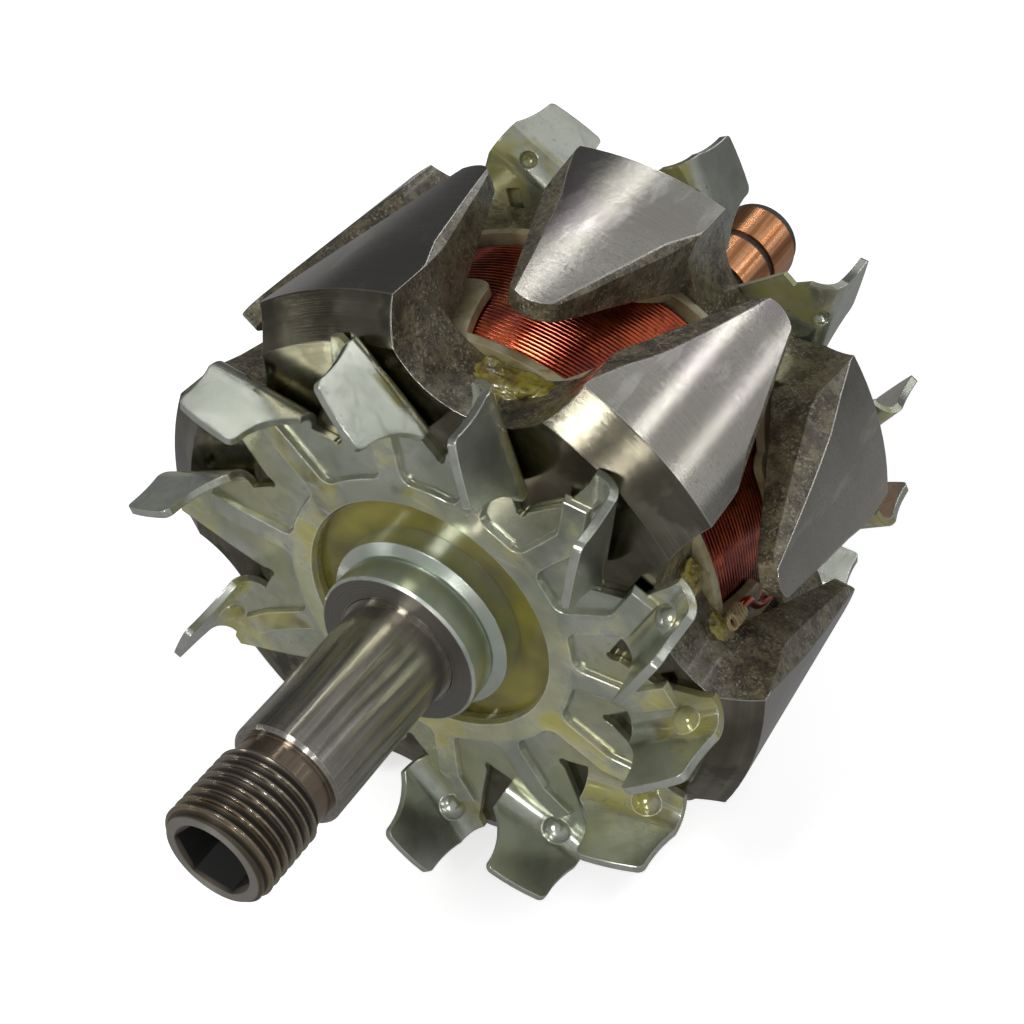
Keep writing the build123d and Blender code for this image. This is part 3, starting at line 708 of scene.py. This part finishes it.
def windCoil():
    s = coil
    length = s["to"] - s["from"]
    turns = float(int(length / s["wire"]))
    grow = Growth("coilWinding", turns=turns, radius=(s["outer"] - s["wire"] / 2) * mm,
                  wire=s["wire"] / 2 * mm, length=(length - s["wire"]) * mm)
    given = grow.given
    spiral = grow.add("GeometryNodeCurveSpiral", {
        "Resolution": s["steps"], "Rotations": given["turns"], "Height": given["length"],
        "Start Radius": given["radius"], "End Radius": given["radius"]})
    section = grow.add("GeometryNodeCurvePrimitiveCircle",
                       {"Resolution": s["around"], "Radius": given["wire"]})
    wire = grow.add("GeometryNodeCurveToMesh", {
        "Curve": spiral.outputs[0], "Profile Curve": section.outputs[0], "Fill Caps": True})
    drum = grow.add("GeometryNodeMeshCylinder", {
        "Vertices": s["drumSides"], "Radius": (s["outer"] - s["drumUnder"]) * mm, "Depth": length * mm})
    raised = grow.add("GeometryNodeTransform", {
        "Geometry": drum.outputs[0], "Translation": (0, 0, length / 2 * mm)})
    lifted = grow.add("GeometryNodeTransform", {
        "Geometry": wire.outputs[0], "Translation": (0, 0, s["wire"] / 2 * mm)})
    both = grow.add("GeometryNodeJoinGeometry")
    grow.tree.links.new(lifted.outputs[0], both.inputs[0])
    grow.tree.links.new(raised.outputs[0], both.inputs[0])
    laid = grow.add("GeometryNodeTransform", {
        "Geometry": both.outputs[0], "Rotation": (-math.pi / 2, 0, 0), "Translation": (0, s["from"] * mm, 0)})
    piece = grow.finish("field_winding_turns", laid.outputs[0], copperWire)
    smoothShade(piece.data, 50)
    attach(piece, "root")
    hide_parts("field_winding")


windCoil()
print("winding made")


# varnish pools and the cord that binds the lead

resin = {
    "seed": 7.3,
    "valleyAxis": 52.1, "valleyRadius": 14.6, "valleyMouth": 38.5, "flange": 21.36,
    "lump": (0.26, 1.7), "ripple": (0.06, 5.0),      # strength and fineness
    "sunk": 0.25, "farthest": 0.5,
    "pools": [                # turn, station, half width, half length, height
        (3.4, 18.9, 5.6, 3.3, 1.7), (58.8, 19.4, 2.8, 2.6, 1.5), (71.2, 20.2, 1.9, 2.0, 1.0),
        (182.0, 19.4, 3.6, 2.4, 1.5), (301.0, 19.6, 2.8, 2.2, 1.4),
    ],
    "thin": rgb(0.34, 0.29, 0.045), "thick": rgb(0.13, 0.095, 0.012), "dirt": rgb(0.045, 0.028, 0.008),
}


def varnishPool():
    f = Finish("varnishPool")
    cloud = f.noise(f.spot, 420, 3, 0.6)
    grain = f.noise(f.spot, 1500, 3, 0.65)
    colour = f.mix(f.step(cloud, 0.36, 0.64), resin["thin"], resin["thick"])
    colour = f.tint(colour, resin["dirt"], f.step(grain, 0.56, 0.68), 0.55)
    f.set(colour=colour, metal=0.0, rough=0.20, normal=f.bump(grain, 0.35, 0.25 * mm),
          coat=0.8, coatRough=0.06, under=0.15, underReach=0.0015)
    return f


pool = varnishPool()


# how far a point stands from the middle of its valley
def valleySide(angle, across):
    return resin["valleyMouth"] * math.sin(angle) + across * math.cos(angle)


def pourPools():
    s = resin
    heap = bmesh.new()
    lump, lumps = s["lump"]
    ripple, ripples = s["ripple"]
    for turn, station, wide, deep, high in s["pools"]:
        ball = bmesh.ops.create_icosphere(heap, subdivisions=5, radius=1.0)["verts"]
        a = math.radians(turn)
        outwards, sideways = Vector((math.sin(a), 0, math.cos(a))), Vector((math.cos(a), 0, -math.sin(a)))
        middle = math.radians(60 * round(turn / 60))
        for point in ball:
            here = point.co.copy()
            lift = 1 + lump * noise.noise(here * lumps + Vector((turn, s["seed"], 0)))
            lift += ripple * noise.noise(here * ripples + Vector((s["seed"], turn, 0)))
            across, along = here.x * wide * lift, station + here.y * deep * lift
            side = valleySide(a - middle, across)
            floor = s["valleyAxis"] - math.sqrt(max(s["valleyRadius"] ** 2 - side ** 2, 1))
            base = floor / math.cos(min(abs(a - middle), s["farthest"])) if side else floor
            height = max(here.z * high * lift, -s["sunk"])
            place = outwards * (base + height) + sideways * across
            point.co = Vector((place.x, min(along, s["flange"]), place.z)) * mm
    bmesh.ops.recalc_face_normals(heap, faces=heap.faces)
    mesh = bpy.data.meshes.new("varnish_pools")
    heap.to_mesh(mesh)
    heap.free()
    smoothShade(mesh, 60)
    piece = newPiece("varnish_pools", mesh, pool)
    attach(piece, "root")


pourPools()

binding = {
    "middle": (39.0, 23.8, 12.97), "length": 2.6, "turns": 5.0, "coreRadius": 0.66, "cord": 0.36,
    "steps": 28, "around": 8,
    "knotTurn": 69.6, "knotRadius": 41.6, "knotStation": 20.5,
    "knotTurns": 2.6, "knotFrom": 0.55, "knotTo": 1.05, "knotHeight": 0.9, "knotTilt": (0.4, -0.5, 0.3),
}


def bindLead():
    s = binding
    grow = Growth("leadBinding", turns=s["turns"], radius=(s["coreRadius"] + s["cord"]) * mm,
                  cord=s["cord"] * mm, length=s["length"] * mm, knotTurns=s["knotTurns"])
    given = grow.given
    spiral = grow.add("GeometryNodeCurveSpiral", {
        "Resolution": s["steps"], "Rotations": given["turns"], "Height": given["length"],
        "Start Radius": given["radius"], "End Radius": given["radius"]})
    knot = grow.add("GeometryNodeCurveSpiral", {
        "Resolution": s["steps"], "Rotations": given["knotTurns"], "Height": s["knotHeight"] * mm,
        "Start Radius": s["knotFrom"] * mm, "End Radius": s["knotTo"] * mm})
    section = grow.add("GeometryNodeCurvePrimitiveCircle",
                       {"Resolution": s["around"], "Radius": given["cord"]})
    a = math.radians(s["knotTurn"])
    knotPlace = Vector((s["knotRadius"] * math.sin(a), s["knotStation"], s["knotRadius"] * math.cos(a))) * mm
    tiltX, tiltY, tiltZ = s["knotTilt"]
    lead = [v * mm for v in s["middle"]]
    lead[1] -= s["length"] / 2 * mm
    laid = []
    wound = (spiral, (-math.pi / 2, 0, 0), lead)
    knotted = (knot, (tiltX, a + tiltY, tiltZ), knotPlace)
    for curve, turned, place in (wound, knotted):
        cord = grow.add("GeometryNodeCurveToMesh", {
            "Curve": curve.outputs[0], "Profile Curve": section.outputs[0], "Fill Caps": True})
        laid.append(grow.add("GeometryNodeTransform", {
            "Geometry": cord.outputs[0], "Rotation": turned, "Translation": place}))
    both = grow.add("GeometryNodeJoinGeometry")
    for cord in laid:
        grow.tree.links.new(cord.outputs[0], both.inputs[0])
    piece = grow.finish("lead_binding_cord", both.outputs[0], sleeve)
    smoothShade(piece.data, 60)
    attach(piece, "root")
    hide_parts("lead_tie")


bindLead()
print("varnish pools and lead binding made")


# shaft with its real thread and socket

screw = {
    "start": -41.3, "end": -29.0, "neckEnd": -26.1, "major": 8.0, "pitch": 1.5, "chamfer": 1.0,
    "crest": 0.16, "root": 0.22, "depthShare": 0.6134, "under": 0.01,     # widths as shares of the pitch
    "phases": [0.0, 0.08, 0.26, 0.39, 0.61, 0.74, 0.92],                 # the profile's points
    "neck": 7.2, "runOut": 1.1, "rootRunOut": 0.5, "around": 96,
    "mouth": 5.8, "mouthDeep": 0.5, "flats": 10.0, "deep": 11.0, "drill": 4.6, "drillTip": 1.8,
}


# radius of the thread's profile, from one crest to the next
def threadRadius(phase):
    crest, root = screw["crest"], screw["root"]
    top, depth = screw["major"] - screw["under"], screw["depthShare"] * screw["pitch"]
    slope = (1 - crest - root) / 2
    fromCrest = min(phase, 1 - phase) - crest / 2
    return top - depth * min(max(fromCrest / slope, 0), 1)


def makeShaft():
    whole = bmesh.new()
    whole.from_mesh(nodes["shaft"].data)
    bmesh.ops.remove_doubles(whole, verts=whole.verts, dist=1e-6)
    cut = screw["neckEnd"] * mm
    bmesh.ops.bisect_plane(whole, geom=whole.verts[:] + whole.edges[:] + whole.faces[:], dist=1e-6,
                           plane_co=(0, cut, 0), plane_no=(0, -1, 0), clear_outer=True)
    rim = [e for e in whole.edges if e.is_boundary]
    bmesh.ops.holes_fill(whole, edges=rim, sides=0)

    count = screw["around"]
    first, last = screw["start"], screw["end"]
    turns = int((last - first) / screw["pitch"]) + 3
    rings = [(turn, phase) for turn in range(-1, turns) for phase in screw["phases"]]
    low = screw["major"] - screw["chamfer"]

    def around(radius, y, i):
        angle = 2 * math.pi * i / count
        return Vector((radius * math.sin(angle), y, radius * math.cos(angle))) * mm

    def place(turn, phase, i):
        y = first + (turn + phase + i / count) * screw["pitch"]
        y = min(max(y, first), last)
        outer = min(screw["major"], low + (y - first), screw["neck"] + (last - y) * screw["runOut"])
        inner = screw["neck"] - (last - y) * screw["rootRunOut"]
        return around(max(min(threadRadius(phase), outer), inner), y, i)

    grid = [[whole.verts.new(place(turn, phase, i)) for i in range(count)] for turn, phase in rings]
    # after a whole turn the helix meets the next turn of itself
    jump = len(screw["phases"])
    for k in range(len(grid) - 1):
        for i in range(count):
            if i < count - 1:
                corners = [grid[k][i], grid[k + 1][i], grid[k + 1][i + 1], grid[k][i + 1]]
            elif k + jump + 1 < len(grid):
                corners = [grid[k][i], grid[k + 1][i], grid[k + jump + 1][0], grid[k + jump][0]]
            else:
                continue
            whole.faces.new(corners)

    def circle(radius, y):
        return [whole.verts.new(around(radius, y, i)) for i in range(count)]

    def hexagon(y):
        made = []
        for i in range(count):
            angle = 2 * math.pi * i / count
            off = (angle + math.pi / 6) % (math.pi / 3) - math.pi / 6
            made.append(whole.verts.new(around(screw["flats"] / 2 / math.cos(off), y, i)))
        return made

    def bridge(a, b):
        for i in range(count):
            j = (i + 1) % count
            whole.faces.new([a[i], b[i], b[j], a[j]])

    bottom = first + screw["deep"]
    startRing, mouth = circle(low, first), circle(screw["mouth"], first)
    socketTop, socketEnd = hexagon(first + screw["mouthDeep"]), hexagon(bottom)
    bridge(startRing, mouth)
    bridge(mouth, socketTop)
    bridge(socketTop, socketEnd)
    drill = circle(screw["drill"], bottom)
    bridge(socketEnd, drill)
    tip = whole.verts.new(Vector((0, bottom + screw["drillTip"], 0)) * mm)
    for i in range(count):
        whole.faces.new([drill[i], tip, drill[(i + 1) % count]])
    neckStart, neckEnd = circle(screw["neck"], last), circle(screw["neck"], screw["neckEnd"])
    bridge(neckStart, neckEnd)
    whole.faces.new(neckEnd)
    bmesh.ops.remove_doubles(whole, verts=whole.verts, dist=2e-6)
    bmesh.ops.dissolve_degenerate(whole, dist=1e-6, edges=whole.edges)
    bmesh.ops.recalc_face_normals(whole, faces=whole.faces)
    mesh = bpy.data.meshes.new("shaft_with_thread")
    whole.to_mesh(mesh)
    whole.free()
    if mesh.has_custom_normals:                       # the copied ones don't fit the merged faces
        mesh.attributes.remove(mesh.attributes["custom_normal"])
    smoothShade(mesh, 28)
    piece = newPiece("shaft_with_thread", mesh, steel)
    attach(piece, "root")
    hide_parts("shaft")


makeShaft()
print("shaft made")


# floor

def layFloor():
    mesh = bpy.data.meshes.new("floor")
    reach, low = studio["floorReach"], studio["floorDepth"] * mm
    corners = [(-reach, -reach, low), (reach, -reach, low), (reach, reach, low), (-reach, reach, low)]
    mesh.from_pydata(corners, [], [(0, 1, 2, 3)])
    paper = bpy.data.materials.new("paper")
    paper.use_nodes = True
    shader = paper.node_tree.nodes["Principled BSDF"]
    shader.inputs["Roughness"].default_value = 0.9
    shader.inputs["Emission Color"].default_value = (1, 1, 1, 1)
    links = paper.node_tree
    spot = links.nodes.new("ShaderNodeTexCoord")
    away = links.nodes.new("ShaderNodeVectorMath")
    away.operation = "LENGTH"
    links.links.new(spot.outputs["Object"], away.inputs[0])
    fade = links.nodes.new("ShaderNodeMapRange")
    fade.interpolation_type = "SMOOTHSTEP"
    fade.inputs["From Min"].default_value, fade.inputs["From Max"].default_value = studio["floorFade"]
    fade.inputs["To Min"].default_value = studio["floorGlow"]
    fade.inputs["To Max"].default_value = studio["floorFar"]
    links.links.new(away.outputs["Value"], fade.inputs["Value"])
    path = links.nodes.new("ShaderNodeLightPath")     # metal sees a dimmer paper, as with a flag beside it
    dim = links.nodes.new("ShaderNodeMapRange")
    dim.inputs["To Min"].default_value, dim.inputs["To Max"].default_value = 1.0, studio["floorInMetal"]
    links.links.new(path.outputs["Is Glossy Ray"], dim.inputs["Value"])
    glow = links.nodes.new("ShaderNodeMath")
    glow.operation = "MULTIPLY"
    links.links.new(fade.outputs[0], glow.inputs[0])
    links.links.new(dim.outputs[0], glow.inputs[1])
    seen = links.nodes.new("ShaderNodeMix")
    seen.inputs[3].default_value = studio["floorGlow"]
    links.links.new(path.outputs["Is Camera Ray"], seen.inputs[0])
    links.links.new(glow.outputs[0], seen.inputs[2])
    links.links.new(seen.outputs[0], shader.inputs["Emission Strength"])
    tone = links.nodes.new("ShaderNodeVectorMath")
    tone.operation = "SCALE"
    tone.inputs[0].default_value = studio["floorColour"][:3]
    links.links.new(dim.outputs[0], tone.inputs["Scale"])
    links.links.new(tone.outputs[0], shader.inputs["Base Color"])
    mesh.materials.append(paper)
    floor = bpy.data.objects.new("floor", mesh)
    bpy.context.scene.collection.objects.link(floor)


layFloor()
print("floor laid")
